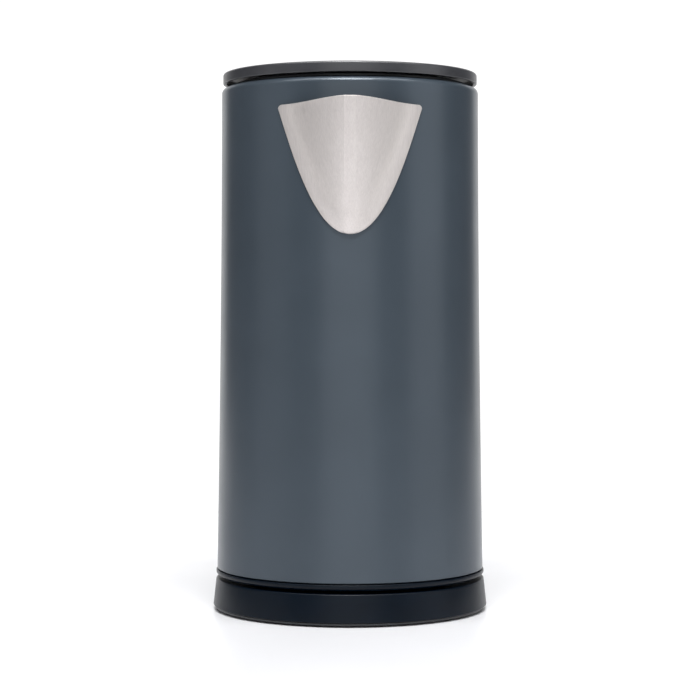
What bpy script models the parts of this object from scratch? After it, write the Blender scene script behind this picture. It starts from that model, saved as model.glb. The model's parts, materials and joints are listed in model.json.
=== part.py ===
"""A cordless electric kettle on its power base, as an assembly of separate pieces.

Lengths are in millimetres and angles in degrees until shape() writes them to Blender in metres.
Every shape is drawn about the jug's own upright axis, with the spout towards -Y, the handle
towards +Y and the table top at Z 0. The empty kettle_axis then carries the whole kettle so that
its footprint, nose of spout to back of handle, is centred on the origin.
"""

import math

import bmesh
import bpy
from mathutils import Matrix, Vector

MM = 0.001
GAP = 0.3  # between pieces that touch on the real kettle
FULL_TURN = 360.0
FRONT = -90.0  # azimuth of the spout, and of everything on its side
REAR = 90.0

# Facets round a full turn
LARGE = 40
MEDIUM = 24
SMALL = 12

# Jug shell: a thin painted steel can, slightly flared towards its foot
SHELL_BOTTOM = 19.7
SHELL_TOP = 248.3
SHELL_RADIUS_TOP = 61.1
SHELL_FLARE = 2.5  # how much wider the foot is than the mouth
FLARE_POWER = 1.6
SHELL_WALL = 0.9
RIM_ROUND = 3.0
RIM_EDGE_RADIUS = 57.0  # where the rolled rim ends, over the collar

# Spout: a pressed beak, nearly a parabola from the front, with a flat crest down its middle
SPOUT_FOOT = 177.0
SPOUT_HEIGHT = 58.7
SPOUT_POWER = 2.08  # of the outline's height against its width
SPOUT_HALF_WIDTH = 32.6
SPOUT_REACH = 19.7
SPOUT_CREST = 2.6
SPOUT_LIP_RISE = 1.65
SPOUT_WALL = 0.8

# Power base
BASE_BOTTOM = 0.8
BASE_TOP = 15.0
BASE_RADIUS = 65.5
BASE_RADIUS_TOP = 64.1
SEAT_TOP = 15.9  # of the raised ring that the jug stands on
SOCKET_RADIUS = 14.8
SOCKET_TOP = 24.0
FEET_RADIUS = 52.0

# Jug underside and heater
COVER_BOTTOM = 16.2
COVER_RADIUS = 64.1
COVER_TOP = 19.1
PLATE_TOP = 40.1
ELEMENT_RADIUS = 37.0
STEAM_TUBE_AZIMUTH = 115.0
STEAM_TUBE_RADIUS = 51.0

# Lid
LID_RADIUS = 61.0
LID_BOTTOM = 250.1
LID_TOP = 255.0
LID_ROUND = 2.4  # of its upper edge
LID_CROWN = 1.0
PLUG_RADIUS = 50.6
PLUG_BOTTOM = 237.0
BUTTON_Y = 30.0
BUTTON_RADIUS = 9.0
BOLT_LOW = 243.2
BOLT_HIGH = 245.0
BOLT_NOSE = -55.0

# Hinge and handle
HINGE_Y = 67.0
HINGE_Z = 249.5
PIN_RADIUS = 1.5
CHEEK_OUTER = 12.6
CHEEK_WIDTH = 3.8
MOUNT_REAR = 72.0  # where the handle's bar meets the hinge block
GRIP_Y = 108.0
HANDLE_HALF_WIDTH = 12.0
HANDLE_HALF_DEPTH = 8.5
HANDLE_CORNER = 17.0
UPPER_ARM_Z = 235.5
LOWER_ARM_Z = 74.0

# Switch
SWITCH_Y = 52.0
SWITCH_Z = 27.5
TRIP_Y = 34.0
TRIP_Z = 31.4
PIVOT_RADIUS = 1.1

# Water gauge
GAUGE_BOTTOM = 92.0
GAUGE_TOP = 208.0
GAUGE_HALF_WIDTH = 4.6
FLOAT_RADIUS = 3.2

HANDLE_BACK = GRIP_Y + HANDLE_HALF_DEPTH


def shell_radius(z):
    """Outer radius of the jug's shell at height z, without the rounding of its rim."""
    up = (z - SHELL_BOTTOM) / (SHELL_TOP - SHELL_BOTTOM)
    return SHELL_RADIUS_TOP + SHELL_FLARE * max(0.0, 1.0 - up) ** FLARE_POWER


SPOUT_NOSE = shell_radius(SPOUT_FOOT + SPOUT_HEIGHT) + SPOUT_REACH + GAP + SPOUT_WALL
AXIS_Y = (SPOUT_NOSE - HANDLE_BACK) / 2


# ---------------------------------------------------------------- scene, materials, frames


def clear_scene():
    for obj in list(bpy.data.objects):
        bpy.data.objects.remove(obj)


def principled(name, colour, roughness, metallic=0.0, alpha=1.0):
    material = bpy.data.materials.new(name)
    material.use_nodes = True
    shader = material.node_tree.nodes["Principled BSDF"]
    shader.inputs["Base Color"].default_value = (*colour, 1.0)
    shader.inputs["Roughness"].default_value = roughness
    shader.inputs["Metallic"].default_value = metallic
    shader.inputs["Alpha"].default_value = alpha
    material.diffuse_color = (*colour, alpha)
    return material


def make_materials():
    return {
        "slate_paint": principled("slate_paint", (0.085, 0.105, 0.130), 0.38),
        "brushed_steel": principled("brushed_steel", (0.62, 0.60, 0.58), 0.32, 1.0),
        "gloss_black": principled("gloss_black", (0.016, 0.018, 0.022), 0.22),
        "satin_black": principled("satin_black", (0.028, 0.030, 0.034), 0.42),
        "clear_plastic": principled("clear_plastic", (0.80, 0.86, 0.90), 0.08, 0.0, 0.35),
        "float_red": principled("float_red", (0.70, 0.05, 0.03), 0.35),
        "seal_silicone": principled("seal_silicone", (0.55, 0.56, 0.56), 0.60),
        "foot_rubber": principled("foot_rubber", (0.03, 0.03, 0.03), 0.85),
        "control_plastic": principled("control_plastic", (0.75, 0.74, 0.70), 0.50),
        "brass": principled("brass", (0.75, 0.56, 0.24), 0.30, 1.0),
        "aluminium": principled("aluminium", (0.72, 0.73, 0.74), 0.45, 1.0),
        "zinc_screw": principled("zinc_screw", (0.55, 0.56, 0.58), 0.35, 1.0),
    }


class Frame:
    """An empty that carries the pieces of one rigid body, placed on that body's joint axis."""

    def __init__(self, name, at, parent=None):
        self.at = Vector(at)
        self.empty = bpy.data.objects.new(name, None)
        bpy.context.scene.collection.objects.link(self.empty)
        if parent is None:
            self.empty.location = Vector((0.0, AXIS_Y, 0.0)) * MM
        else:
            self.empty.parent = parent.empty
            self.empty.location = (self.at - parent.at) * MM


# ---------------------------------------------------------------- shape helpers


def shape(name, bm, frame, material=None, smooth_angle=35.0):
    """Turns a bmesh drawn in millimetres about the jug's axis into an object on a frame."""
    bmesh.ops.recalc_face_normals(bm, faces=bm.faces)
    bmesh.ops.transform(bm, matrix=Matrix.Translation(-frame.at), verts=bm.verts)
    bmesh.ops.scale(bm, vec=(MM, MM, MM), verts=bm.verts)
    mesh = bpy.data.meshes.new(name)
    bm.to_mesh(mesh)
    bm.free()
    mesh.shade_smooth()
    mesh.set_sharp_from_angle(angle=math.radians(smooth_angle))
    if material is not None:
        mesh.materials.append(material)
    obj = bpy.data.objects.new(name, mesh)
    bpy.context.scene.collection.objects.link(obj)
    obj.parent = frame.empty
    return obj


def turned(profile, segments=LARGE, centre=(0.0, 0.0), arc=None):
    """Spins a closed (radius, z) outline round the upright line through centre.

    arc is (first azimuth, last azimuth) for a piece that goes only part of the way round.
    """
    bm = bmesh.new()
    first = math.radians(arc[0]) if arc else 0.0
    sweep = math.radians(arc[1] - arc[0]) if arc else math.tau
    verts = [bm.verts.new((r * math.cos(first), r * math.sin(first), z)) for r, z in profile]
    if arc:
        geometry = [bm.faces.new(verts)]
    else:
        geometry = [
            bm.edges.new((a, b))
            for a, b in zip(verts, verts[1:] + verts[:1])
            if not (a.co.xy.length < 1e-6 and b.co.xy.length < 1e-6)
        ]
    bmesh.ops.spin(
        bm,
        geom=geometry,
        cent=(0, 0, 0),
        axis=(0, 0, 1),
        angle=sweep,
        steps=segments,
        use_merge=not arc,
    )
    bmesh.ops.remove_doubles(bm, verts=bm.verts, dist=1e-4)
    bmesh.ops.translate(bm, vec=(centre[0], centre[1], 0), verts=bm.verts)
    return bm


def drum(radius, low, high, segments=MEDIUM, centre=(0.0, 0.0), hole=0.0):
    """An upright disc or ring."""
    if hole:
        outline = [(hole, low), (radius, low), (radius, high), (hole, high)]
    else:
        outline = [(0, low), (radius, low), (radius, high), (0, high)]
    return turned(outline, segments, centre)


def laid(bm, along, at):
    """Lays an upright shape drawn about Z over, so that its Z runs along a direction from a point."""
    turn = Vector((0, 0, 1)).rotation_difference(Vector(along)).to_matrix().to_4x4()
    bmesh.ops.transform(bm, matrix=Matrix.Translation(Vector(at)) @ turn, verts=bm.verts)
    return bm


def prism(outline, low, high, axis="X"):
    """Extrudes a closed outline: (y, z) points along X, or (x, z) points along Y."""
    bm = bmesh.new()
    place = {
        "X": lambda a, b: (low, a, b),
        "Y": lambda a, b: (a, low, b),
        "Z": lambda a, b: (a, b, low),
    }[axis]
    step = {"X": (1, 0, 0), "Y": (0, 1, 0), "Z": (0, 0, 1)}[axis]
    face = bm.faces.new([bm.verts.new(place(a, b)) for a, b in outline])
    made = bmesh.ops.extrude_face_region(bm, geom=[face])
    verts = [item for item in made["geom"] if isinstance(item, bmesh.types.BMVert)]
    bmesh.ops.translate(bm, vec=Vector(step) * (high - low), verts=verts)
    return bm


def block(low, high, bevel=0.0):
    """A box between two corners, with its edges bevelled."""
    (x0, y0, z0), (x1, y1, z1) = low, high
    bm = prism([(y0, z0), (y1, z0), (y1, z1), (y0, z1)], x0, x1)
    if bevel:
        bmesh.ops.bevel(
            bm, geom=list(bm.edges), offset=bevel, segments=2, profile=0.5, affect="EDGES"
        )
    return bm


def joined(*meshes):
    """Several bmeshes as one, for cutters whose bodies stay apart."""
    whole = bmesh.new()
    for bm in meshes:
        part = bpy.data.meshes.new("part")
        bmesh.ops.recalc_face_normals(bm, faces=bm.faces)
        bm.to_mesh(part)
        bm.free()
        whole.from_mesh(part)
        bpy.data.meshes.remove(part)
    return whole


def operand(name, bm, frame):
    """A cutter or a lump to be fused: it takes part in Booleans and isn't a piece itself."""
    obj = shape(name, bm, frame)
    obj.hide_render = True
    obj.display_type = "WIRE"
    return obj


def boolean(obj, operation, other):
    modifier = obj.modifiers.new(f"{operation.lower()}_{other.name}", "BOOLEAN")
    modifier.operation = operation
    modifier.solver = "EXACT"
    modifier.object = other


def cut(obj, bm, frame, name):
    boolean(obj, "DIFFERENCE", operand(f"cut_{name}", bm, frame))


def fuse(obj, bm, frame, name):
    boolean(obj, "UNION", operand(f"fuse_{name}", bm, frame))


def wire(name, points, radius, frame, material, resolution=2):
    """A round wire or rod along a list of points."""
    curve = bpy.data.curves.new(name, "CURVE")
    curve.dimensions = "3D"
    curve.bevel_depth = radius * MM
    curve.bevel_resolution = resolution
    curve.use_fill_caps = True
    spline = curve.splines.new("POLY")
    spline.points.add(len(points) - 1)
    for place, point in zip(spline.points, points):
        place.co = (*((Vector(point) - frame.at) * MM), 1.0)
    curve.materials.append(material)
    obj = bpy.data.objects.new(name, curve)
    bpy.context.scene.collection.objects.link(obj)
    obj.parent = frame.empty
    return obj


def on_circle(radius, azimuth, z=None):
    a = math.radians(azimuth)
    point = (radius * math.cos(a), radius * math.sin(a))
    return point if z is None else (*point, z)


def arc_points(centre, radius, start, end, count):
    """Points of an arc in a plane, ends included."""
    return [
        (
            centre[0] + radius * math.cos(math.radians(start + (end - start) * k / count)),
            centre[1] + radius * math.sin(math.radians(start + (end - start) * k / count)),
        )
        for k in range(count + 1)
    ]


def screw_bm(head_radius, head_height, shank_radius, length):
    """A pan-head screw standing on Z, head down at 0 and point up."""
    return turned(
        [
            (0, 0),
            (head_radius * 0.8, 0),
            (head_radius, head_height * 0.4),
            (head_radius, head_height),
            (shank_radius, head_height),
            (shank_radius, length - shank_radius),
            (0, length),
        ],
        SMALL,
    )


def screw(name, at, along, frame, material, size=(2.6, 1.3, 1.2, 9.5), sunk=3.0):
    """A screw with its head at a point. Returns the clearance hole that its hosts need.

    sunk is how far the hole for the head reaches back out of the surface.
    """
    head_radius, head_height, shank_radius, length = size
    shape(name, laid(screw_bm(*size), along, at), frame, material)
    hole = turned(
        [
            (0, -sunk),
            (head_radius + GAP, -sunk),
            (head_radius + GAP, head_height + GAP),
            (shank_radius + GAP, head_height + GAP),
            (shank_radius + GAP, length + GAP),
            (0, length + GAP),
        ],
        SMALL,
    )
    return laid(hole, along, at)


def cut_all(hosts, meshes, frame, name):
    """Cuts the same openings out of several pieces."""
    cutter = operand(f"cut_{name}", joined(*meshes), frame)
    for host in hosts:
        boolean(host, "DIFFERENCE", cutter)


# ---------------------------------------------------------------- power base


def make_power_base(frame, mats):
    cover = shape(
        "base_cover",
        turned(
            [
                (BASE_RADIUS, 2.1),
                (BASE_RADIUS_TOP, BASE_TOP - 0.6),
                (BASE_RADIUS_TOP - 0.6, BASE_TOP),
                (47.0, 14.2),
                (45.6, SEAT_TOP),
                (41.4, SEAT_TOP),
                (40.0, 14.2),
                (20.0, 14.2),
                (15.3, 17.4),
                (15.3, 12.2),
                (61.6, 12.2),
                (62.7, 2.1),
            ]
        ),
        frame,
        mats["gloss_black"],
    )
    bottom = shape(
        "base_bottom",
        turned(
            [
                (0, BASE_BOTTOM),
                (63.9, BASE_BOTTOM),
                (64.5, BASE_BOTTOM + 0.5),
                (64.5, 1.8),
                (62.3, 1.8),
                (62.3, 4.0),
                (0, 4.0),
            ]
        ),
        frame,
        mats["satin_black"],
    )
    make_socket(frame, mats)
    screw_places = [on_circle(54.0, azimuth) for azimuth in (0.0, 120.0, 240.0)]
    posts = [drum(3.4, 4.3, 13.2, SMALL, place) for place in screw_places]
    fuse(cover, joined(*posts), frame, "base_posts")
    holes = [
        screw(f"base_screw_{number}", (*place, 1.1), (0, 0, 1), frame, mats["zinc_screw"])
        for number, place in enumerate(screw_places, 1)
    ]
    holes.append(make_cord_gland(frame, mats))
    cut_all([cover, bottom], holes, frame, "base_holes")
    pockets = []
    for number, azimuth in enumerate((30.0, 150.0, 270.0), 1):
        centre = on_circle(FEET_RADIUS, azimuth)
        shape(f"foot_{number}", drum(6.5, 0.0, 1.7, 20, centre), frame, mats["foot_rubber"])
        pockets.append(drum(6.8, 0.5, 2.0, 20, centre))
    cut(bottom, joined(*pockets), frame, "foot_pockets")


def make_socket(frame, mats):
    """The round tower of the base's connector, with a slot for each ring of the jug's plug."""
    shape(
        "base_socket",
        turned(
            [
                (0, 14.0),
                (2.9, 14.0),
                (2.9, SOCKET_TOP),
                (5.0, SOCKET_TOP),
                (5.0, 15.0),
                (7.8, 15.0),
                (7.8, SOCKET_TOP),
                (9.8, SOCKET_TOP),
                (9.8, 15.0),
                (12.6, 15.0),
                (12.6, SOCKET_TOP - 0.3),
                (13.8, SOCKET_TOP - 0.5),
                (SOCKET_RADIUS, SOCKET_TOP - 1.8),
                (SOCKET_RADIUS, 8.0),
                (20.0, 8.0),
                (20.0, 4.3),
                (0, 4.3),
            ],
            MEDIUM,
        ),
        frame,
        mats["satin_black"],
    )
    for name, inner, outer in (
        ("contact_centre", 2.1, 2.6),
        ("contact_ring", 7.0, 7.5),
        ("contact_earth", 11.8, 12.3),
    ):
        shape(name, drum(outer, 15.5, 20.5, 20, hole=inner), frame, mats["brass"])


def make_cord_gland(frame, mats):
    """The bush in the back of the base where the mains lead enters; its bore is open.

    Returns the hole that it sits in.
    """
    outline = [(3.2, 0), (4.5, 0), (4.5, 6.2), (5.6, 6.4), (5.6, 7.8), (4.9, 8.6), (3.2, 8.6)]
    at = (0, 59.2, 8.2)
    shape("cord_gland", laid(turned(outline, 20), (0, 1, 0), at), frame, mats["foot_rubber"])
    return laid(drum(4.8, -1.0, 12.0, 20), (0, 1, 0), at)


# ---------------------------------------------------------------- plug between base and jug


def make_coupler(frame, mats):
    """The jug's round plug: its pin and rings hang down into the slots of the base's socket."""
    plug = shape(
        "coupler_plug",
        drum(16.8, 26.0, 28.0, MEDIUM),
        frame,
        mats["satin_black"],
    )
    fuse(plug, drum(3.4, 24.4, 26.5, 20), frame, "coupler_boss")
    shape("coupler_pin", drum(1.6, 16.0, 24.1, SMALL), frame, mats["brass"])
    shape("coupler_ring", drum(6.6, 16.5, 25.7, 20, hole=5.8), frame, mats["brass"])
    shape("coupler_earth_ring", drum(11.4, 16.5, 25.7, 20, hole=10.6), frame, mats["brass"])


# ---------------------------------------------------------------- jug


def shell_wall(low, high, out, steps):
    """(radius, z) points that follow the shell's outer face, a distance out from it."""
    return [
        (shell_radius(low + (high - low) * k / steps) + out, low + (high - low) * k / steps)
        for k in range(steps + 1)
    ]


def wall_piece(low, high, inner, outer, half_width, azimuth, segments=6, steps=4):
    """A plate that hugs the shell, from inner to outer beyond its outer face."""
    half_angle = math.degrees(math.asin(half_width / shell_radius(low)))
    face_in = shell_wall(low, high, inner, steps)
    face_out = shell_wall(low, high, outer, steps)
    arc = (azimuth - half_angle, azimuth + half_angle)
    return turned(face_out + face_in[::-1], segments, arc=arc)


def make_shell(frame, mats):
    """The can, with its rolled rim."""
    round_centre = (SHELL_RADIUS_TOP - RIM_ROUND, SHELL_TOP - RIM_ROUND)
    straight_top = SHELL_TOP - RIM_ROUND
    outside = shell_wall(SHELL_BOTTOM, straight_top, 0.0, 4)
    rim_out = arc_points(round_centre, RIM_ROUND, 0, 90, 3)
    rim_in = arc_points(round_centre, RIM_ROUND - SHELL_WALL, 90, 0, 2)
    inside = shell_wall(SHELL_BOTTOM, straight_top, -SHELL_WALL, 4)[::-1]
    edge = [(RIM_EDGE_RADIUS, SHELL_TOP), (RIM_EDGE_RADIUS, SHELL_TOP - SHELL_WALL)]
    outline = outside[:-1] + rim_out + edge + rim_in + inside[1:]
    shell = shape("body_shell", turned(outline), frame, mats["slate_paint"])
    port = [
        (0.84 * SPOUT_HALF_WIDTH * k / 6, SPOUT_FOOT + 6.0 + 46.6 * (k / 6) ** 2)
        for k in range(-6, 7)
    ]
    cut(shell, prism(port, -75.0, -45.0, "Y"), frame, "spout_port")
    slot = wall_piece(GAUGE_BOTTOM + 4, GAUGE_TOP - 4, -4.0, 4.0, GAUGE_HALF_WIDTH + 1.6, REAR)
    cut(shell, slot, frame, "gauge_slot")
    cut(shell, block((-8.6, 55, 22.6), (8.6, 70, 33.4)), frame, "switch_slot")
    return shell


def spout_stand(across, half_width):
    """How far the beak stands out, from 1 on its flat crest to 0 at its edges."""
    x = abs(across) * half_width
    if x <= SPOUT_CREST:
        return 1.0
    t = min(1.0, (x - SPOUT_CREST) / (half_width - SPOUT_CREST))
    return 0.55 * (0.5 + 0.5 * math.cos(math.pi * t)) + 0.45 * (1 - t) ** 1.25


def spout_point(up, across, out):
    """A point of the beak: up is 0 at its foot and 1 at its lip, across is -1 to 1."""
    half_width = SPOUT_HALF_WIDTH * up
    x = across * half_width
    z = SPOUT_FOOT + SPOUT_HEIGHT * up**SPOUT_POWER
    wall = math.sqrt((shell_radius(z) + out) ** 2 - x * x)
    reach = SPOUT_REACH * up**1.8 * spout_stand(across, half_width)
    lip = SPOUT_LIP_RISE * up**6 * (0.5 + 0.5 * math.cos(math.pi * across)) ** 1.3
    return Vector((x, -(wall + reach), z + lip))


def spout_crossings(half_width, flank):
    """Positions across the beak: the middle, its crest's two edges, and steps down either flank."""
    crest = SPOUT_CREST / max(half_width, 2 * SPOUT_CREST)
    right = [crest + (1 - crest) * k / flank for k in range(flank + 1)]
    return [-a for a in reversed(right)] + [0.0] + right


def make_spout(frame, mats):
    """A sheet on the beak's inner face, thickened outwards."""
    rows, flank = 10, 6
    bm = bmesh.new()
    grid = [
        [
            bm.verts.new(spout_point(up, across, GAP))
            for across in spout_crossings(SPOUT_HALF_WIDTH * up, flank)
        ]
        for up in [r / rows for r in range(1, rows + 1)]
    ]
    foot = bm.verts.new(spout_point(0, 0, GAP))
    for a, b in zip(grid[0], grid[0][1:]):
        bm.faces.new((foot, a, b))
    for low, high in zip(grid, grid[1:]):
        for k in range(len(low) - 1):
            bm.faces.new((low[k], low[k + 1], high[k + 1], high[k]))
    spout = shape("spout", bm, frame, mats["brushed_steel"])
    outward = spout.data.polygons[len(spout.data.polygons) // 2].normal.y < 0
    thick = spout.modifiers.new("sheet", "SOLIDIFY")
    thick.thickness = SPOUT_WALL * MM
    thick.offset = 1.0 if outward else -1.0
    return spout


def make_collar(frame, mats):
    """The plastic ring inside the rim that the lid's plug drops into."""
    collar = shape(
        "top_collar",
        turned(
            [
                (56.6, 248.0),
                (54.0, 248.0),
                (53.2, 247.2),
                (53.2, 237.0),
                (54.2, 230.0),
                (59.2, 230.0),
                (59.2, 245.0),
                (58.4, 246.4),
                (56.6, 247.0),
            ]
        ),
        frame,
        mats["satin_black"],
    )
    cut(collar, block((-8, -57.7, 237.6), (8, -50, 250)), frame, "latch_slot")
    return collar


def make_filter(frame, mats):
    """The limescale filter clipped behind the spout's port."""
    arc = (FRONT - 31.0, FRONT + 31.0)
    outline = [(57.6, 181.0), (59.4, 181.0), (59.4, 229.7), (57.6, 229.7)]
    rim = shape("filter_frame", turned(outline, 12, arc=arc), frame, mats["satin_black"])
    window = [(55.0, 184.5), (62.0, 184.5), (62.0, 226.0), (55.0, 226.0)]
    cut(rim, turned(window, 12, arc=(FRONT - 28.0, FRONT + 28.0)), frame, "filter_window")
    screen = [(58.3, 184.9), (58.8, 184.9), (58.8, 225.6), (58.3, 225.6)]
    arc = (FRONT - 27.6, FRONT + 27.6)
    shape("filter_screen", turned(screen, 12, arc=arc), frame, mats["brushed_steel"])


def make_underside(frame, mats):
    """The plastic cover under the jug. Its edge is the black ring that shows below the shell."""
    cover = shape(
        "bottom_cover",
        turned(
            [
                (COVER_RADIUS, COVER_TOP - 0.2),
                (COVER_RADIUS - 0.2, COVER_TOP),
                (61.6, COVER_TOP),
                (61.4, 26.0),
                (59.6, 26.0),
                (59.4, 18.9),
                (26.0, 18.9),
                (25.0, 21.2),
                (17.6, 21.2),
                (17.6, 19.2),
                (23.4, 19.0),
                (24.6, COVER_BOTTOM),
                (62.4, COVER_BOTTOM),
                (COVER_RADIUS, COVER_BOTTOM + 1.2),
            ]
        ),
        frame,
        mats["gloss_black"],
    )
    ring = shape(
        "shell_foot_ring",
        turned(shell_wall(27.2, 28.6, -13.5, 1) + shell_wall(27.2, 28.6, -1.2, 1)[::-1]),
        frame,
        mats["brushed_steel"],
    )
    cut(ring, block((-33, 30, 26), (16, 70, 30)), frame, "foot_ring_gap")
    places = [on_circle(52.0, azimuth) for azimuth in (20.0, 200.0)]
    posts = [drum(3.4, 18.5, 26.9, SMALL, place) for place in places]
    ears = [block((x, 49, 18.5), (x + 2.0, 55, 30.0)) for x in (-10.4, 8.4)]
    fuse(cover, joined(*posts, *ears), frame, "cover_posts_and_ears")
    bore = laid(drum(PIVOT_RADIUS + GAP, -14, 14, SMALL), (1, 0, 0), (0, SWITCH_Y, SWITCH_Z))
    size = (2.6, 1.3, 1.2, 13.5)
    holes = [
        screw(f"cover_screw_{k}", (*place, 17.0), (0, 0, 1), frame, mats["zinc_screw"], size)
        for k, place in enumerate(places, 1)
    ]
    cut_all([cover, ring], holes, frame, "cover_holes")
    cut(cover, bore, frame, "switch_bore")
    cut(cover, block((-9.2, 56, 22.2), (9.2, 66, 30)), frame, "cover_switch_notch")


def make_heater(frame, mats):
    """The tank's floor with the sheathed element under it, and the control that switches it."""
    tube_at = on_circle(STEAM_TUBE_RADIUS, STEAM_TUBE_AZIMUTH)
    plate = shape(
        "element_plate",
        turned(
            [
                (0, PLATE_TOP),
                (58.2, PLATE_TOP),
                (59.3, PLATE_TOP - 1.2),
                (59.3, 34.0),
                (58.3, 34.0),
                (58.3, 39.3),
                (0, 39.3),
            ]
        ),
        frame,
        mats["brushed_steel"],
    )
    cut(plate, drum(4.6, 30, 50, 20, tube_at), frame, "plate_steam_hole")
    seal = [(59.6, 34.4), (61.7, 34.4), (61.7, 39.0), (59.6, 39.0)]
    shape("plate_seal", turned(seal), frame, mats["seal_silicone"])
    shape("diffuser_plate", drum(45.0, 37.4, 39.0, LARGE), frame, mats["aluminium"])
    steps = 22
    start, end = REAR + 76.0, REAR + FULL_TURN - 37.0
    ring = [
        on_circle(ELEMENT_RADIUS, start + (end - start) * k / steps, 33.9)
        for k in range(steps + 1)
    ]
    tails = [on_circle(ELEMENT_RADIUS, a, 28.5) for a in (start - 5.0, end + 5.0)]
    shape_points = [tails[0], *ring, tails[1]]
    wire("heating_element", shape_points, 3.1, frame, mats["aluminium"])
    tube = [(2.8, 30.0), (4.0, 30.0), (4.0, 228.0), (2.8, 228.0)]
    shape("steam_tube", turned(tube, SMALL, tube_at), frame, mats["seal_silicone"])


def make_control(frame, mats):
    """The thermostat block in the middle, with the tray that carries its levers to the back."""
    control = shape("control_unit", drum(24.0, 28.4, 36.2), frame, mats["control_plastic"])
    fuse(control, block((-30, 17.5, 26.0), (12, 46, 28.9)), frame, "control_tray")
    walls = [block((x, 17.5, 26.5), (x + 1.6, 46, 34.0)) for x in (-30.0, 10.4)]
    fuse(control, joined(*walls), frame, "tray_walls")
    bore = laid(drum(PIVOT_RADIUS + GAP, -32, 14, SMALL), (1, 0, 0), (0, TRIP_Y, TRIP_Z))
    cut(control, bore, frame, "trip_bore")
    disc = [(0, 36.5), (8.5, 36.7), (8.5, 37.1), (0, 36.9)]
    shape("boil_dry_disc", turned(disc, 20), frame, mats["brass"])
    steam_disc = laid(drum(4.0, 0, 0.5, 20), (0, 1, 0), (-20.0, 40.0, 33.1))
    shape("steam_disc", steam_disc, frame, mats["brass"])


def make_gauge(frame, mats):
    """The water gauge behind the handle: a clear channel in a slot of the shell."""
    window = shape(
        "gauge_window",
        wall_piece(GAUGE_BOTTOM, GAUGE_TOP, GAP, 1.8, GAUGE_HALF_WIDTH + 4.0, REAR),
        frame,
        mats["clear_plastic"],
    )
    channel = wall_piece(
        GAUGE_BOTTOM + 4.3, GAUGE_TOP - 4.3, -2.2, 7.6, GAUGE_HALF_WIDTH + 1.3, REAR
    )
    fuse(window, channel, frame, "gauge_channel")
    hollow = wall_piece(
        GAUGE_BOTTOM + 6.5, GAUGE_TOP - 6.5, -6.0, 6.0, GAUGE_HALF_WIDTH - 0.6, REAR
    )
    cut(window, hollow, frame, "gauge_hollow")


def make_switch_bezel(frame, mats):
    bezel = shape(
        "switch_bezel",
        wall_piece(21.0, 42.0, GAP, 1.8, 12.0, REAR, 8, 2),
        frame,
        mats["gloss_black"],
    )
    cut(bezel, block((-8.9, 60, 22.8), (8.9, 70, 33.2)), frame, "bezel_slot")
    lamp_at = (0, 62.9, 37.6)
    cut(bezel, laid(drum(2.3, -3, 6, 20), (0, 1, 0), lamp_at), frame, "lamp_hole")
    lens = [(0, 0.9), (1.9, 0.9), (1.9, 2.0), (1.3, 2.5), (0, 2.7)]
    shape("lamp_lens", laid(turned(lens, 20), (0, 1, 0), lamp_at), frame, mats["clear_plastic"])


def make_keeper(frame, mats):
    """The spring-steel leaf in the collar that the lid's bolt snaps under."""
    back, front, nib = -57.3, -56.9, -53.6
    nib_low = BOLT_HIGH + 0.4
    outline = [
        (back, 238.6),
        (front, 238.6),
        (front, nib_low),
        (nib, nib_low),
        (nib, nib_low + 0.4),
        (front, nib_low + 0.9),
        (front, 246.9),
        (back, 246.9),
    ]
    shape("keeper_spring", prism(outline, -5.0, 5.0), frame, mats["brushed_steel"])


# ---------------------------------------------------------------- handle


def make_hinge_block(collar, shell, frame, mats):
    """The block on the back of the shell that holds the lid's pin and the handle's upper end."""
    back = MOUNT_REAR
    low, high = UPPER_ARM_Z - HANDLE_HALF_DEPTH, UPPER_ARM_Z + HANDLE_HALF_DEPTH
    half = HANDLE_HALF_WIDTH + 2.0
    hinge = shape(
        "hinge_block",
        block((-half, 52, low), (half, back, high), 1.2),
        frame,
        mats["satin_black"],
    )
    cheek = [
        (HINGE_Y - 4.6, high - 2),
        (HINGE_Y + 4.6, high - 2),
        *arc_points((HINGE_Y, HINGE_Z), 4.6, 0, 180, 8),
    ]
    cheeks = [prism(cheek, x, x + CHEEK_WIDTH) for x in (-CHEEK_OUTER, CHEEK_OUTER - CHEEK_WIDTH)]
    tenon = block((-7.0, back - 1, UPPER_ARM_Z - 4.2), (7.0, back + 10, UPPER_ARM_Z + 4.2))
    fuse(hinge, joined(*cheeks, tenon), frame, "cheeks_and_tenon")
    room = turned([(0, 220), (shell_radius(220) + GAP, 220), (shell_radius(255) + GAP, 255), (0, 255)])
    cut(hinge, room, frame, "hinge_seat")
    bore = laid(drum(PIN_RADIUS + GAP, -20, 20, SMALL), (1, 0, 0), (0, HINGE_Y, HINGE_Z))
    cut(hinge, bore, frame, "hinge_bore")
    pin = laid(drum(PIN_RADIUS, -CHEEK_OUTER, CHEEK_OUTER, SMALL), (1, 0, 0), (0, HINGE_Y, HINGE_Z))
    shape("hinge_pin", pin, frame, mats["brushed_steel"])
    size = (2.4, 1.3, 1.2, 15.0)
    holes = [
        screw(f"hinge_screw_{k}", (x, 52.2, 233.2), (0, 1, 0), frame, mats["zinc_screw"], size, 6.0)
        for k, x in enumerate((-9.5, 9.5), 1)
    ]
    cut_all([collar, shell, hinge], holes, frame, "hinge_screw_holes")
    return hinge


def handle_path():
    """(y, z, outward y, outward z) along the middle of the handle's bar, top end first."""
    upper = (GRIP_Y - HANDLE_CORNER, UPPER_ARM_Z - HANDLE_CORNER)
    lower = (GRIP_Y - HANDLE_CORNER, LOWER_ARM_Z + HANDLE_CORNER)
    steps = 5
    path = [(MOUNT_REAR + GAP, UPPER_ARM_Z, 0.0, 1.0)]
    for centre, start in ((upper, 90.0), (lower, 0.0)):
        for k in range(steps + 1):
            a = math.radians(start - 90.0 * k / steps)
            out = (math.cos(a), math.sin(a))
            path.append((centre[0] + HANDLE_CORNER * out[0], centre[1] + HANDLE_CORNER * out[1], *out))
    path.append((56.0, LOWER_ARM_Z, 0.0, -1.0))
    return path


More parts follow.
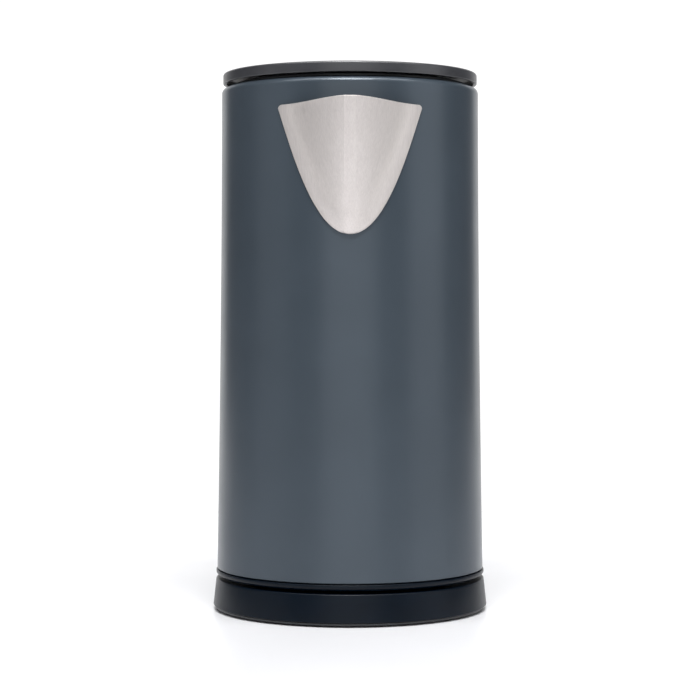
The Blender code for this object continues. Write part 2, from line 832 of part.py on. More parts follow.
def half_section(side):
    """One half of the bar's hollow section as (x, out) points; side is 1 for the outer half."""
    wide, deep, wall = HANDLE_HALF_WIDTH, HANDLE_HALF_DEPTH, 2.4
    outer = [
        (wide * math.copysign(abs(math.cos(a)) ** 0.55, math.cos(a)), deep * math.sin(a) ** 0.55)
        for a in [math.radians(180.0 * k / 8) for k in range(9)]
    ]
    inner = [(x * (wide - wall) / wide, out * (deep - wall) / deep) for x, out in outer]
    seam = GAP / 2
    return [(x, side * max(out, seam)) for x, out in outer + inner[::-1]]


def swept_bar(side):
    section = half_section(side)
    bm = bmesh.new()
    rings = [
        [bm.verts.new((x, y + oy * out, z + oz * out)) for x, out in section]
        for y, z, oy, oz in handle_path()
    ]
    for near, far in zip(rings, rings[1:]):
        for k in range(len(section)):
            n = (k + 1) % len(section)
            bm.faces.new((near[k], near[n], far[n], far[k]))
    bm.faces.new(rings[0])
    bm.faces.new(rings[-1])
    return bm


def make_handle(hinge, frame, mats):
    room = turned([(0, 40), (shell_radius(40) + GAP, 40), (shell_radius(110) + GAP, 110), (0, 110)])
    seat = operand("cut_handle_seat", room, frame)
    halves = {}
    for name, side in (("handle_cover", 1), ("handle_frame", -1)):
        halves[name] = shape(name, swept_bar(side), frame, mats["satin_black"], 50.0)
        boolean(halves[name], "DIFFERENCE", seat)
    bracket = shape(
        "handle_bracket",
        wall_piece(LOWER_ARM_Z - 4.4, LOWER_ARM_Z + 4.4, GAP, 1.5, 6.8, REAR, 4, 1),
        frame,
        mats["brushed_steel"],
    )
    tab = block((-6.4, 63.4, LOWER_ARM_Z - 1.0), (6.4, 84.0, LOWER_ARM_Z + 1.0))
    fuse(bracket, tab, frame, "bracket_tab")
    recess = 0.5
    upper = screw(
        "handle_screw_upper",
        (0, MOUNT_REAR + 5.5, UPPER_ARM_Z - HANDLE_HALF_DEPTH + recess),
        (0, 0, 1),
        frame,
        mats["zinc_screw"],
    )
    cut_all([halves["handle_frame"], hinge], [upper], frame, "handle_hole_upper")
    lower = screw(
        "handle_screw_lower",
        (0, 77.5, LOWER_ARM_Z - HANDLE_HALF_DEPTH + recess),
        (0, 0, 1),
        frame,
        mats["zinc_screw"],
    )
    cut_all([halves["handle_cover"], bracket], [lower], frame, "handle_hole_lower")


# ---------------------------------------------------------------- lid


def make_lid(frame, mats):
    top = [(r, LID_TOP + LID_CROWN * (1 - (r / LID_RADIUS) ** 2)) for r in (0, 24, 46)]
    cover = shape(
        "lid_cover",
        turned(
            [
                *top,
                *arc_points((LID_RADIUS - LID_ROUND, LID_TOP - LID_ROUND), LID_ROUND, 90, 0, 3),
                (LID_RADIUS, LID_BOTTOM + 0.5),
                (LID_RADIUS - 0.4, LID_BOTTOM),
                (58.8, LID_BOTTOM),
                (58.6, 252.8),
                (0, 253.8),
            ]
        ),
        frame,
        mats["satin_black"],
    )
    add_hinge_arm(cover, frame)
    under = shape(
        "lid_under",
        turned(
            [
                (0, PLUG_BOTTOM),
                (48.6, PLUG_BOTTOM),
                (PLUG_RADIUS - 0.6, PLUG_BOTTOM + 1.4),
                (PLUG_RADIUS, 248.8),
                (58.0, 248.8),
                (58.0, 250.0),
                (48.8, 250.0),
                (48.4, PLUG_BOTTOM + 1.6),
                (0, PLUG_BOTTOM + 1.6),
            ]
        ),
        frame,
        mats["satin_black"],
    )
    rails = [block((x - 0.8, -44, 238.2), (x + 0.8, 12, BOLT_HIGH)) for x in (-7.6, 7.6)]
    fuse(under, joined(*rails), frame, "bolt_rails")
    slot = block((-6.4, -53, BOLT_LOW - 0.5), (6.4, -46, BOLT_HIGH + 0.5))
    cut(under, slot, frame, "bolt_slot")
    seal = [(50.9, 239.2), (52.2, 239.6), (52.3, 241.1), (50.9, 241.5)]
    shape("lid_seal", turned(seal), frame, mats["seal_silicone"])
    hole = drum(BUTTON_RADIUS + 0.4, 248, 260, MEDIUM, (0, BUTTON_Y))
    cut(cover, hole, frame, "button_hole")
    places = [(x, 0.0) for x in (-40.0, 40.0)]
    posts = [drum(3.2, PLUG_BOTTOM + 2.0, 253.9, SMALL, place) for place in places]
    fuse(cover, joined(*posts), frame, "lid_posts")
    size = (2.6, 0.9, 1.2, 11.0)
    holes = [
        screw(f"lid_screw_{k}", (*place, PLUG_BOTTOM - 1.2), (0, 0, 1), frame, mats["zinc_screw"], size)
        for k, place in enumerate(places, 1)
    ]
    cut_all([cover, under], holes, frame, "lid_screw_holes")


def add_hinge_arm(cover, frame):
    """The tongue behind the lid and its knuckle round the pin."""
    knuckle = 4.2
    outline = [
        (56.0, 251.0),
        (62.0, 251.0),
        (HINGE_Y - 3.0, HINGE_Z - 1.2),
        *arc_points((HINGE_Y, HINGE_Z), knuckle, 220, 90 + 360, 9)[1:],
        (56.0, 254.6),
    ]
    fuse(cover, prism(outline, -8.2, 4.2), frame, "lid_arm")
    roof = [(56.0, 251.8), (HINGE_Y, 252.9), (HINGE_Y, HINGE_Z + knuckle), (56.0, 254.6)]
    fuse(cover, prism(roof, 3.0, 8.2), frame, "lid_arm_roof")
    bore = laid(drum(PIN_RADIUS + GAP, -12, 12, SMALL), (1, 0, 0), (0, HINGE_Y, HINGE_Z))
    cut(cover, bore, frame, "lid_bore")


def make_button(frame, mats):
    """The push button in the lid; the slope on its leg draws the bolt back."""
    crown = LID_TOP + LID_CROWN * (1 - (BUTTON_Y / LID_RADIUS) ** 2) - 0.2
    outline = [
        (0, 249.6),
        (10.6, 249.6),
        (10.6, 250.8),
        (BUTTON_RADIUS, 250.8),
        (BUTTON_RADIUS, crown - 0.6),
        (BUTTON_RADIUS - 0.6, crown),
        (0, crown - 0.4),
    ]
    button = shape(
        "lid_button", turned(outline, MEDIUM, (0, BUTTON_Y)), frame, mats["satin_black"]
    )
    toe = BOLT_LOW - 1.7
    leg = [(28.0, 250.0), (28.0, toe), (30.4, toe), (36.4, toe + 6.0), (36.4, 250.0)]
    fuse(button, prism(leg, -2.6, 2.6), frame, "button_leg")


def make_bolt(frame, mats):
    """The flat bolt in the lid: its nose stands out of the plug under the keeper."""
    outline = [
        (BOLT_NOSE, BOLT_LOW),
        (41.0, BOLT_LOW),
        (41.0, BOLT_HIGH),
        (BOLT_NOSE + 1.4, BOLT_HIGH),
        (BOLT_NOSE, BOLT_HIGH - 1.2),
    ]
    bolt = shape("lid_bolt", prism(outline, -6.0, 6.0), frame, mats["brushed_steel"])
    window = block((-3.2, 24.0, BOLT_LOW - 1), (3.2, 34.4, BOLT_HIGH + 1))
    cut(bolt, window, frame, "bolt_window")
    tab = block((-2.5, -30.0, BOLT_HIGH - 0.4), (2.5, -28.8, BOLT_HIGH + 5.0))
    fuse(bolt, tab, frame, "bolt_tab")


def make_lid_springs(button_frame, bolt_frame, mats):
    """The coil under the button, and the coil that pushes the bolt out."""
    turns, per_turn, radius = 4, 8, 2.0
    count = turns * per_turn
    upright = [
        (
            -8.7 + radius * math.cos(math.tau * k / per_turn),
            BUTTON_Y + 4.0 + radius * math.sin(math.tau * k / per_turn),
            239.4 + 9.6 * k / count,
        )
        for k in range(count + 1)
    ]
    wire("button_spring", upright, 0.3, button_frame, mats["brushed_steel"], 1)
    radius = 1.8
    lying = [
        (
            radius * math.cos(math.tau * k / per_turn),
            -28.2 + 14.0 * k / count,
            BOLT_HIGH + 2.7 + radius * math.sin(math.tau * k / per_turn),
        )
        for k in range(count + 1)
    ]
    wire("bolt_spring", lying, 0.3, bolt_frame, mats["brushed_steel"], 1)


# ---------------------------------------------------------------- switch and float


def make_switch_lever(frame, mats):
    """The on-off lever: a paddle under the handle, on an arm through the shell's slot."""
    outline = [
        (47.5, 26.4),
        (SWITCH_Y, 25.7),
        (64.6, 25.9),
        (80.0, 25.0),
        (81.2, 26.0),
        (81.0, 27.4),
        (66.0, 29.9),
        (SWITCH_Y, 29.4),
        (47.5, 28.6),
    ]
    lever = shape("switch_lever", prism(outline, -7.6, 7.6), frame, mats["gloss_black"], 50.0)
    rod = laid(drum(PIVOT_RADIUS, -10.2, 10.2, SMALL), (1, 0, 0), (0, SWITCH_Y, SWITCH_Z))
    fuse(lever, rod, frame, "switch_rod")


def make_trip_lever(frame, mats):
    """The lever in the control's tray that the steam disc throws; it works the switch lever."""
    outline = [
        (24.8, 30.6),
        (46.8, 30.6),
        (46.8, 32.0),
        (TRIP_Y + 2, 33.2),
        (TRIP_Y - 2, 33.2),
        (24.8, 32.0),
    ]
    lever = shape("trip_lever", prism(outline, -5.0, 5.0), frame, mats["control_plastic"])
    rod = laid(drum(PIVOT_RADIUS, -29.6, 11.6, SMALL), (1, 0, 0), (0, TRIP_Y, TRIP_Z))
    fuse(lever, rod, frame, "trip_rod")


def make_float(frame, mats):
    middle = (0, shell_radius(GAUGE_BOTTOM) + 2.2)
    low = GAUGE_BOTTOM + 7.0
    profile = [(0, low), *[(r, low + z) for r, z in arc_points((0, 3.2), FLOAT_RADIUS, -60, 60, 6)]]
    profile.append((0, low + 2 * FLOAT_RADIUS))
    shape("gauge_float", turned(profile, 20, middle), frame, mats["float_red"])


# ---------------------------------------------------------------- assembly


def main():
    clear_scene()
    mats = make_materials()
    base = Frame("kettle_axis", (0, 0, 0))
    coupler = Frame("coupler_axis", (0, 0, 0), base)
    jug = Frame("jug_axis", (0, 0, 0), coupler)
    lid = Frame("lid_hinge_axis", (0, HINGE_Y, HINGE_Z), jug)
    button = Frame("lid_button_axis", (0, BUTTON_Y, LID_TOP), lid)
    bolt = Frame("lid_bolt_axis", (0, 0, 241.5), lid)
    switch = Frame("switch_axis", (0, SWITCH_Y, SWITCH_Z), jug)
    trip = Frame("trip_axis", (0, TRIP_Y, TRIP_Z), jug)
    gauge = Frame("float_axis", (0, shell_radius(GAUGE_BOTTOM) + 2.2, GAUGE_BOTTOM), jug)

    make_power_base(base, mats)
    make_coupler(coupler, mats)
    shell = make_shell(jug, mats)
    make_spout(jug, mats)
    collar = make_collar(jug, mats)
    make_filter(jug, mats)
    make_underside(jug, mats)
    make_heater(jug, mats)
    make_control(jug, mats)
    make_gauge(jug, mats)
    make_switch_bezel(jug, mats)
    make_keeper(jug, mats)
    hinge = make_hinge_block(collar, shell, jug, mats)
    make_handle(hinge, jug, mats)
    make_lid(lid, mats)
    make_button(button, mats)
    make_bolt(bolt, mats)
    make_lid_springs(lid, lid, mats)
    make_switch_lever(switch, mats)
    make_trip_lever(trip, mats)
    make_float(gauge, mats)


main()
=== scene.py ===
"""The look of a cordless electric kettle on its power base, built round its CAD frame.

Lengths are millimetres about the jug's upright axis, spout towards -Y, until mesh_object() writes
them to Blender in metres in the row frame.
"""

import json
import math

import bmesh
import bpy
from mathutils import Matrix, Vector


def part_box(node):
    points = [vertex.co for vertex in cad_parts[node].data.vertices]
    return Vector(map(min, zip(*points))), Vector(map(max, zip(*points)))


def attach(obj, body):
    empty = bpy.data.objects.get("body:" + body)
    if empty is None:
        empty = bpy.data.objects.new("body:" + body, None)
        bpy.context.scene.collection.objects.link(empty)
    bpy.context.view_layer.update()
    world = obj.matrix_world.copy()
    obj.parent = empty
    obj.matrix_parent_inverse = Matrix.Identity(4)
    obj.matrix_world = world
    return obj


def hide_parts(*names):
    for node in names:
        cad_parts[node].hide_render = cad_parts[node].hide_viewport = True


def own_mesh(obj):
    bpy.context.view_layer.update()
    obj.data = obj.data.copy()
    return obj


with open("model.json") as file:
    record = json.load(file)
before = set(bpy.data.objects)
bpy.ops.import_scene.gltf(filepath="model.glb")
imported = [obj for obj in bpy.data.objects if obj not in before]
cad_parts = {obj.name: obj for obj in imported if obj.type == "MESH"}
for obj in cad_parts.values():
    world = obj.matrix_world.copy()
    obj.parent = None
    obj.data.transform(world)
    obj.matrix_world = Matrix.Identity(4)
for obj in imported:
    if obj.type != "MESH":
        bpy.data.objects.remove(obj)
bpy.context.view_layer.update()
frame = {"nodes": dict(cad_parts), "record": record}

MM = 0.001
shell_low, shell_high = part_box("body_shell")
AXIS_Y = (shell_low.y + shell_high.y) / 2  # where the jug's axis stands in the row frame, metres
CENTRE = Vector((0.0, AXIS_Y, 0.0))

AROUND = 240  # facets round the large pieces
SHARP_ANGLE = 40.0
FRONT = -90.0
REAR = 90.0

# Jug shell
SHELL_BOTTOM = 19.7
SHELL_TOP = 248.3
SHELL_RADIUS_TOP = 61.1
SHELL_FLARE = 2.5
FLARE_POWER = 1.6
SHELL_WALL = 0.9
RIM_ROUND = 3.0
RIM_EDGE_RADIUS = 57.0

# Spout: a pressed beak with a flat crest and a rounded edge all round
SPOUT_FOOT = 177.0
SPOUT_HEIGHT = 58.7
SPOUT_POWER = 2.08  # of the outline's height against its width
SPOUT_HALF_WIDTH = 32.6
SPOUT_REACH = 19.7
SPOUT_LIP_RISE = 1.65
SPOUT_CREST = 2.6
SPOUT_TIP_ROUND = 1.7
SPOUT_SHEET = 0.8
SPOUT_GAP = 0.3

# Base, underside and lid
BASE_RADIUS = 65.5
BASE_RADIUS_TOP = 64.1
BASE_TOP = 15.0
SEAT_TOP = 15.9
FEET_CIRCLE = 52.0
FEET_AT = (30.0, 150.0, 270.0)
SCREW_CIRCLE = 54.0
SCREWS_AT = (0.0, 120.0, 240.0)
COVER_RADIUS = 64.1
COVER_TOP = 19.1
COVER_BOTTOM = 16.2
LID_RADIUS = 60.5
LID_BOTTOM = 250.1
LID_TOP = 255.0
LID_ROUND = 1.1
LID_CROWN = 1.0
FLANGE_RADIUS = 55.0
BUTTON_Y = 30.0
BUTTON_RADIUS = 9.0
LEG_TOE = 241.5  # lowest point of the button's leg
LEG_HALF_WIDTH = 2.6
SPRING_WIRE = 0.3
COIL_TURNS = 4
COIL_STEPS = 12  # points in each turn
HINGE_Y = 67.0
HINGE_Z = 249.5
KNUCKLE_RADIUS = 4.2
KNUCKLE_HALF_WIDTH = 8.2
PIN_BORE = 1.8

# Water gauge, behind the handle
GAUGE_LOW = 92.0
GAUGE_HIGH = 208.0
CHANNEL_LOW = 96.3
CHANNEL_HIGH = 203.7
CHANNEL_STAND = 7.6  # of its outer face from the shell
MARK_LOW = 104.0
MARK_PITCH = 15.0
MARKS = 7

# Handle
GRIP_Y = 108.0
HANDLE_HALF_WIDTH = 12.0
HANDLE_HALF_DEPTH = 8.5
HANDLE_CORNER = 17.0
HANDLE_WALL = 2.4
HANDLE_SEAM = 0.15  # half the gap between its two halves
UPPER_ARM_Z = 235.5
LOWER_ARM_Z = 74.0
MOUNT_REAR = 72.0

# Filter cloth
CLOTH_RADIUS = 58.55
CLOTH_LOW = 185.2
CLOTH_HIGH = 225.3
CLOTH_HALF_ANGLE = 27.3
CLOTH_PITCH = 1.1
CLOTH_WIRE = 0.16

# Camera and studio, in metres
CAMERA_DISTANCE = 0.975
CAMERA_HEIGHT = 0.147
CAMERA_LENS = 104.52
CAMERA_PITCH = 1.381
FLOOR_RADIUS = 1.25
AIR_LIGHT = 0.12  # strength of the air as it lights the object
AIR_SEEN = 0.85  # strength of the air where the camera sees it
BACKDROP_BEHIND = 1.5
SWEEP_START = 0.42
SWEEP_LIFT = 0.0005
SWEEP_CURVE = 0.3
SWEEP_HALF_WIDTH = 1.15
SWEEP_HEIGHT = 2.2
SWEEP_GLOW = 1.1
SWEEP_STEPS = 12


def shell_radius(z):
    """Outer radius of the jug's shell, which flares towards its foot."""
    up = (z - SHELL_BOTTOM) / (SHELL_TOP - SHELL_BOTTOM)
    return SHELL_RADIUS_TOP + SHELL_FLARE * max(0.0, 1.0 - up) ** FLARE_POWER


# ---------------------------------------------------------------- materials


class Nodes:
    """A node tree being written: add() makes a node and wires its inputs."""

    def __init__(self, made):
        self.tree = made.node_tree
        self.shader = self.tree.nodes["Principled BSDF"]
        self.place = self.add("ShaderNodeTexCoord").outputs["Object"]

    def add(self, kind, settings=None, **inputs):
        node = self.tree.nodes.new(kind)
        for key, value in (settings or {}).items():
            setattr(node, key, value)
        for key, value in inputs.items():
            self.put(node.inputs[key.replace("_", " ")], value)
        return node

    def put(self, socket, value):
        if isinstance(value, bpy.types.NodeSocket):
            self.tree.links.new(value, socket)
        else:
            socket.default_value = value

    def noise(self, scale, detail=3.0, stretch=(1.0, 1.0, 1.0), roughness=0.5):
        """Noise whose grain is 1 / scale metres, stretched along an axis by a small factor there."""
        mapped = self.add("ShaderNodeMapping", Vector=self.place, Scale=stretch).outputs["Vector"]
        node = self.add(
            "ShaderNodeTexNoise", Vector=mapped, Scale=scale, Detail=detail, Roughness=roughness
        )
        return node.outputs["Fac"]

    def spread(self, value, low, high):
        """Maps 0.3..0.7, where noise lives, to low..high."""
        node = self.add(
            "ShaderNodeMapRange",
            Value=value,
            From_Min=0.3,
            From_Max=0.7,
            To_Min=low,
            To_Max=high,
        )
        return node.outputs["Result"]

    def total(self, first, second):
        node = self.add("ShaderNodeMath", {"operation": "ADD"})
        self.put(node.inputs[0], first)
        self.put(node.inputs[1], second)
        return node.outputs[0]

    def blend(self, amount, first, second):
        """A colour between two, by amount."""
        node = self.add("ShaderNodeMix", {"data_type": "RGBA"})
        self.put(node.inputs[0], amount)
        self.put(node.inputs[6], (*first, 1.0))
        self.put(node.inputs[7], (*second, 1.0))
        return node.outputs[2]

    def bump(self, height, strength, distance, normal=None):
        node = self.add("ShaderNodeBump", Height=height, Strength=strength, Distance=distance)
        if normal is not None:
            self.put(node.inputs["Normal"], normal)
        return node.outputs["Normal"]

    def finish(self, **inputs):
        for key, value in inputs.items():
            self.put(self.shader.inputs[key.replace("_", " ")], value)


def material(name):
    """A new material and the writer of its nodes."""
    made = bpy.data.materials.new(name)
    made.use_nodes = True
    return made, Nodes(made)


def shade_pair(colour, spread):
    """A colour a little darker and a little lighter than the one given."""
    dark = tuple(c * (1 - spread) for c in colour)
    light = tuple(min(1.0, c * (1 + spread)) for c in colour)
    return dark, light


def slate_paint():
    """Satin stoving paint: a fine orange peel over faint cloudiness, with a little metal dust."""
    made, n = material("slate_paint_look")
    clouds = n.noise(26.0, 4.0)
    dust = n.noise(5200.0, 1.0)
    mixed = n.add("ShaderNodeMath", {"operation": "MULTIPLY_ADD"})
    n.put(mixed.inputs[0], dust)
    n.put(mixed.inputs[1], 0.5)
    n.put(mixed.inputs[2], n.spread(clouds, 0.0, 0.5))
    peel = n.bump(n.noise(900.0, 2.0), 0.10, 0.0002)
    n.finish(
        Base_Color=n.blend(mixed.outputs[0], *shade_pair((0.050, 0.066, 0.084), 0.10)),
        Metallic=0.25,
        Roughness=n.spread(n.noise(40.0, 5.0), 0.28, 0.32),
        Normal=peel,
    )
    return made


def brushed_steel(name="brushed_steel_look", along=2, colour=(0.71, 0.67, 0.65), roughness=0.60):
    """Steel brushed along one axis: long scratches of two widths."""
    made, n = material(name)
    stretch = [1.0, 1.0, 1.0]
    stretch[along] = 0.012
    fine = n.noise(2600.0, 3.0, stretch, 0.65)
    coarse = n.noise(700.0, 2.0, stretch, 0.6)
    rubbed = n.noise(60.0, 4.0)
    dulled = n.spread(rubbed, -0.02, 0.02)
    n.finish(
        Base_Color=n.blend(n.spread(fine, 0.0, 1.0), *shade_pair(colour, 0.06)),
        Metallic=1.0,
        Roughness=n.total(n.spread(coarse, roughness - 0.05, roughness + 0.05), dulled),
        Normal=n.bump(n.total(fine, coarse), 0.16, 0.00012),
    )
    n.shader.inputs["Anisotropic"].default_value = 0.5
    return made


def black_plastic(name, colour, roughness, grain, depth, specular=0.5):
    """Moulded plastic: a spark-eroded texture of a given grain, and faint wear marks in the gloss."""
    made, n = material(name)
    pits = n.add("ShaderNodeTexVoronoi", Vector=n.place, Scale=grain)
    rough_noise = n.noise(grain * 0.6, 2.0)
    skin = n.bump(rough_noise, 0.35, depth, n.bump(pits.outputs["Distance"], 0.2, depth))
    wear = n.noise(34.0, 6.0, roughness=0.65)
    n.finish(
        Base_Color=n.blend(n.spread(n.noise(90.0, 4.0), 0.0, 1.0), *shade_pair(colour, 0.12)),
        Roughness=n.spread(wear, roughness - 0.05, roughness + 0.07),
        Normal=skin,
    )
    n.shader.inputs["Specular IOR Level"].default_value = specular
    return made


def soft_plastic(name, colour, roughness, grain=900.0, subsurface=0.0):
    """Silicone, rubber or uncoloured nylon: a matt skin with dust and flow marks."""
    made, n = material(name)
    flow = n.noise(55.0, 5.0, (1.0, 1.0, 0.4))
    n.finish(
        Base_Color=n.blend(n.spread(flow, 0.0, 1.0), *shade_pair(colour, 0.10)),
        Roughness=n.spread(n.noise(120.0, 4.0), roughness - 0.08, roughness + 0.06),
        Normal=n.bump(n.noise(grain, 3.0), 0.25, 0.00012),
    )
    n.shader.inputs["Subsurface Weight"].default_value = subsurface
    return made


def metal(name, colour, roughness, grain=500.0):
    """Pressed or plated metal: a cloudy sheen with fine rolling marks and dulled patches."""
    made, n = material(name)
    marks = n.noise(grain, 3.0, (1.0, 0.06, 1.0), 0.6)
    dull = n.noise(150.0, 5.0, roughness=0.6)
    n.finish(
        Base_Color=n.blend(n.spread(dull, 0.0, 1.0), *shade_pair(colour, 0.13)),
        Metallic=1.0,
        Roughness=n.spread(dull, roughness - 0.07, roughness + 0.09),
        Normal=n.bump(marks, 0.12, 0.0001),
    )
    return made


def clear_plastic():
    """Clear moulded plastic with faint smears."""
    made, n = material("clear_plastic_look")
    smears = n.noise(45.0, 5.0, (1.0, 1.0, 0.5))
    n.finish(
        Base_Color=n.blend(n.spread(smears, 0.0, 1.0), (0.86, 0.90, 0.93), (0.92, 0.95, 0.97)),
        Roughness=n.spread(smears, 0.03, 0.11),
        Normal=n.bump(n.noise(160.0, 2.0), 0.05, 0.0002),
    )
    n.shader.inputs["Transmission Weight"].default_value = 0.9
    n.shader.inputs["IOR"].default_value = 1.49
    return made


def floor_look():
    """A pale satin table top."""
    made, n = material("floor_look")
    n.finish(
        Base_Color=n.blend(n.spread(n.noise(3.0, 4.0), 0.0, 1.0), (0.82, 0.82, 0.84), (0.84, 0.84, 0.86)),
        Roughness=n.spread(n.noise(8.0, 4.0), 0.30, 0.36),
    )
    return made


def make_looks():
    """Every material, by the name of the slot it serves."""
    return {
        "slate_paint": slate_paint(),
        "brushed_steel": brushed_steel(),
        "spring_steel": brushed_steel("spring_steel_look", 0, (0.60, 0.59, 0.57), 0.36),
        "gloss_black": black_plastic(
            "gloss_black_look", (0.001, 0.004, 0.009), 0.33, 1500.0, 0.00002, 0.17
        ),
        "lid_black": black_plastic("lid_black_look", (0.024, 0.025, 0.030), 0.36, 1500.0, 0.00002, 0.9),
        "satin_black": black_plastic("satin_black_look", (0.026, 0.028, 0.032), 0.40, 1900.0, 0.00005),
        "clear_plastic": clear_plastic(),
        "float_red": soft_plastic("float_red_look", (0.62, 0.035, 0.020), 0.34),
        "seal_silicone": soft_plastic("seal_silicone_look", (0.52, 0.53, 0.53), 0.58, 700.0, 0.1),
        "foot_rubber": soft_plastic("foot_rubber_look", (0.022, 0.022, 0.023), 0.80, 1400.0),
        "control_plastic": soft_plastic("control_plastic_look", (0.70, 0.68, 0.62), 0.50),
        "brass": metal("brass_look", (0.74, 0.55, 0.25), 0.36),
        "aluminium": metal("aluminium_look", (0.72, 0.73, 0.74), 0.42, 300.0),
        "zinc_screw": metal("zinc_screw_look", (0.56, 0.57, 0.60), 0.36, 1200.0),
    }


# ---------------------------------------------------------------- mesh helpers


def mesh_object(name, bm, look, smooth_angle=SHARP_ANGLE):
    """Writes a bmesh, drawn in millimetres about the jug's axis, as an object in the row frame."""
    bmesh.ops.recalc_face_normals(bm, faces=bm.faces)
    bmesh.ops.scale(bm, vec=(MM, MM, MM), verts=bm.verts)
    bmesh.ops.translate(bm, vec=CENTRE, verts=bm.verts)
    mesh = bpy.data.meshes.new(name)
    bm.to_mesh(mesh)
    bm.free()
    mesh.shade_smooth()
    mesh.set_sharp_from_angle(angle=math.radians(smooth_angle))
    if look is not None:
        mesh.materials.append(look)
    obj = bpy.data.objects.new(name, mesh)
    bpy.context.scene.collection.objects.link(obj)
    return obj


def piece(name, bm, look, body, nodes, smooth_angle=SHARP_ANGLE):
    """A shown piece that stands for CAD nodes and moves with a body."""
    obj = mesh_object(name, bm, look, smooth_angle)
    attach(obj, body)
    if nodes:
        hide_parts(*nodes)
    return obj


def turned(profile, segments=AROUND, centre=(0.0, 0.0), arc=None):
    """Spins a closed (radius, z) outline round the upright line through centre."""
    bm = bmesh.new()
    first = math.radians(arc[0]) if arc else 0.0
    sweep = math.radians(arc[1] - arc[0]) if arc else math.tau
    rings = []
    columns = segments + 1 if arc else segments
    for r, z in profile:
        if r < 1e-6 and not arc:
            rings.append([bm.verts.new((0.0, 0.0, z))])
            continue
        rings.append(
            [
                bm.verts.new(
                    (
                        r * math.cos(first + sweep * k / segments),
                        r * math.sin(first + sweep * k / segments),
                        z,
                    )
                )
                for k in range(columns)
            ]
        )
    for near, far in zip(rings, rings[1:] + rings[:1]):
        if len(near) == 1 and len(far) == 1:
            continue
        for k in range(segments):
            n = (k + 1) % columns
            corners = [near[k % len(near)], near[n % len(near)], far[n % len(far)], far[k % len(far)]]
            unique = list(dict.fromkeys(corners))
            bm.faces.new(unique)
    if arc:
        bm.faces.new([ring[0] for ring in rings])
        bm.faces.new([ring[-1] for ring in reversed(rings)])
    bmesh.ops.translate(bm, vec=(centre[0], centre[1], 0), verts=bm.verts)
    return bm


def softened(outline, radius, steps=5):
    """Rounds chosen corners of a closed outline: radius is one number or one per corner."""
    radii = radius if isinstance(radius, list) else [radius] * len(outline)
    points = [Vector(p) for p in outline]
    result = []
    for k, corner in enumerate(points):
        before = points[k - 1] - corner
        after = points[(k + 1) % len(points)] - corner
        reach = min(radii[k], before.length * 0.49, after.length * 0.49)
        if reach < 0.02:
            result.append(tuple(corner))
            continue
        start = corner + before.normalized() * reach
        end = corner + after.normalized() * reach
        for s in range(steps + 1):
            t = s / steps
            point = start * (1 - t) ** 2 + corner * 2 * t * (1 - t) + end * t**2
            result.append(tuple(point))
    return result


def block(low, high):
    """A box between two corners, to cut with."""
    bm = bmesh.new()
    bmesh.ops.create_cube(bm, size=1.0)
    size = Vector(high) - Vector(low)
    bmesh.ops.scale(bm, vec=size, verts=bm.verts)
    bmesh.ops.translate(bm, vec=(Vector(high) + Vector(low)) / 2, verts=bm.verts)
    return bm


def carve(obj, cutters):
    """Cuts shapes out of a piece for good."""
    for bm in cutters:
        cutter = mesh_object("cutter", bm, None)
        modifier = obj.modifiers.new("cut", "BOOLEAN")
        modifier.operation = "DIFFERENCE"
        modifier.solver = "EXACT"
        modifier.object = cutter
        settle(obj)
        bpy.data.objects.remove(cutter)
    obj.data.set_sharp_from_angle(angle=math.radians(SHARP_ANGLE))


def settle(obj):
    """Applies the modifiers of a piece."""
    evaluated = obj.evaluated_get(bpy.context.evaluated_depsgraph_get())
    mesh = bpy.data.meshes.new_from_object(evaluated)
    obj.modifiers.clear()
    obj.data = mesh


def wire_bm(bm, points, radius, sides=8):
    """Adds a round rod along a list of points."""
    points = [Vector(p) for p in points]
    rings = []
    previous = None
    for k, point in enumerate(points):
        ahead = points[min(k + 1, len(points) - 1)] - points[max(k - 1, 0)]
        ahead.normalize()
        side = previous or ahead.orthogonal()
        side = (side - ahead * side.dot(ahead)).normalized()
        up = ahead.cross(side)
        previous = side
        rings.append(
            [
                bm.verts.new(
                    point
                    + side * radius * math.cos(math.tau * s / sides)
                    + up * radius * math.sin(math.tau * s / sides)
                )
                for s in range(sides)
            ]
        )
    for near, far in zip(rings, rings[1:]):
        for s in range(sides):
            t = (s + 1) % sides
            bm.faces.new((near[s], near[t], far[t], far[s]))
    bm.faces.new(rings[0])
    bm.faces.new(rings[-1])
    return bm


def add_bar(bm, near, far):
    """Adds a solid bar between two outlines that face each other."""
    near = [bm.verts.new(p) for p in near]
    far = [bm.verts.new(p) for p in far]
    bm.faces.new(near)
    bm.faces.new(far[::-1])
    for k in range(len(near)):
        n = (k + 1) % len(near)
        bm.faces.new((near[k], far[k], far[n], near[n]))
    return bm


def on_circle(radius, azimuth, z):
    """A point on a level circle round the upright axis, azimuth in degrees."""
    a = math.radians(azimuth)
    return (radius * math.cos(a), radius * math.sin(a), z)


# ---------------------------------------------------------------- jug


def shell_wall(low, high, out, steps):
    """Outline points up the shell's wall, at a distance out from its face."""
    return [
        (shell_radius(low + (high - low) * k / steps) + out, low + (high - low) * k / steps)
        for k in range(steps + 1)
    ]


def wall_piece(low, high, inner, outer, half_width, azimuth, segments=24, steps=20, edge=0.5):
    """A plate that hugs the shell, with its upper and lower outer edges rounded."""
    half_angle = math.degrees(math.asin(half_width / shell_radius(low)))
    face_out = [
        (shell_radius(low) + outer - edge, low),
        *shell_wall(low + edge, high - edge, outer, steps),
        (shell_radius(high) + outer - edge, high),
    ]
    face_in = shell_wall(low, high, inner, steps)
    arc = (azimuth - half_angle, azimuth + half_angle)
    return turned(face_out + face_in[::-1], segments, arc=arc)


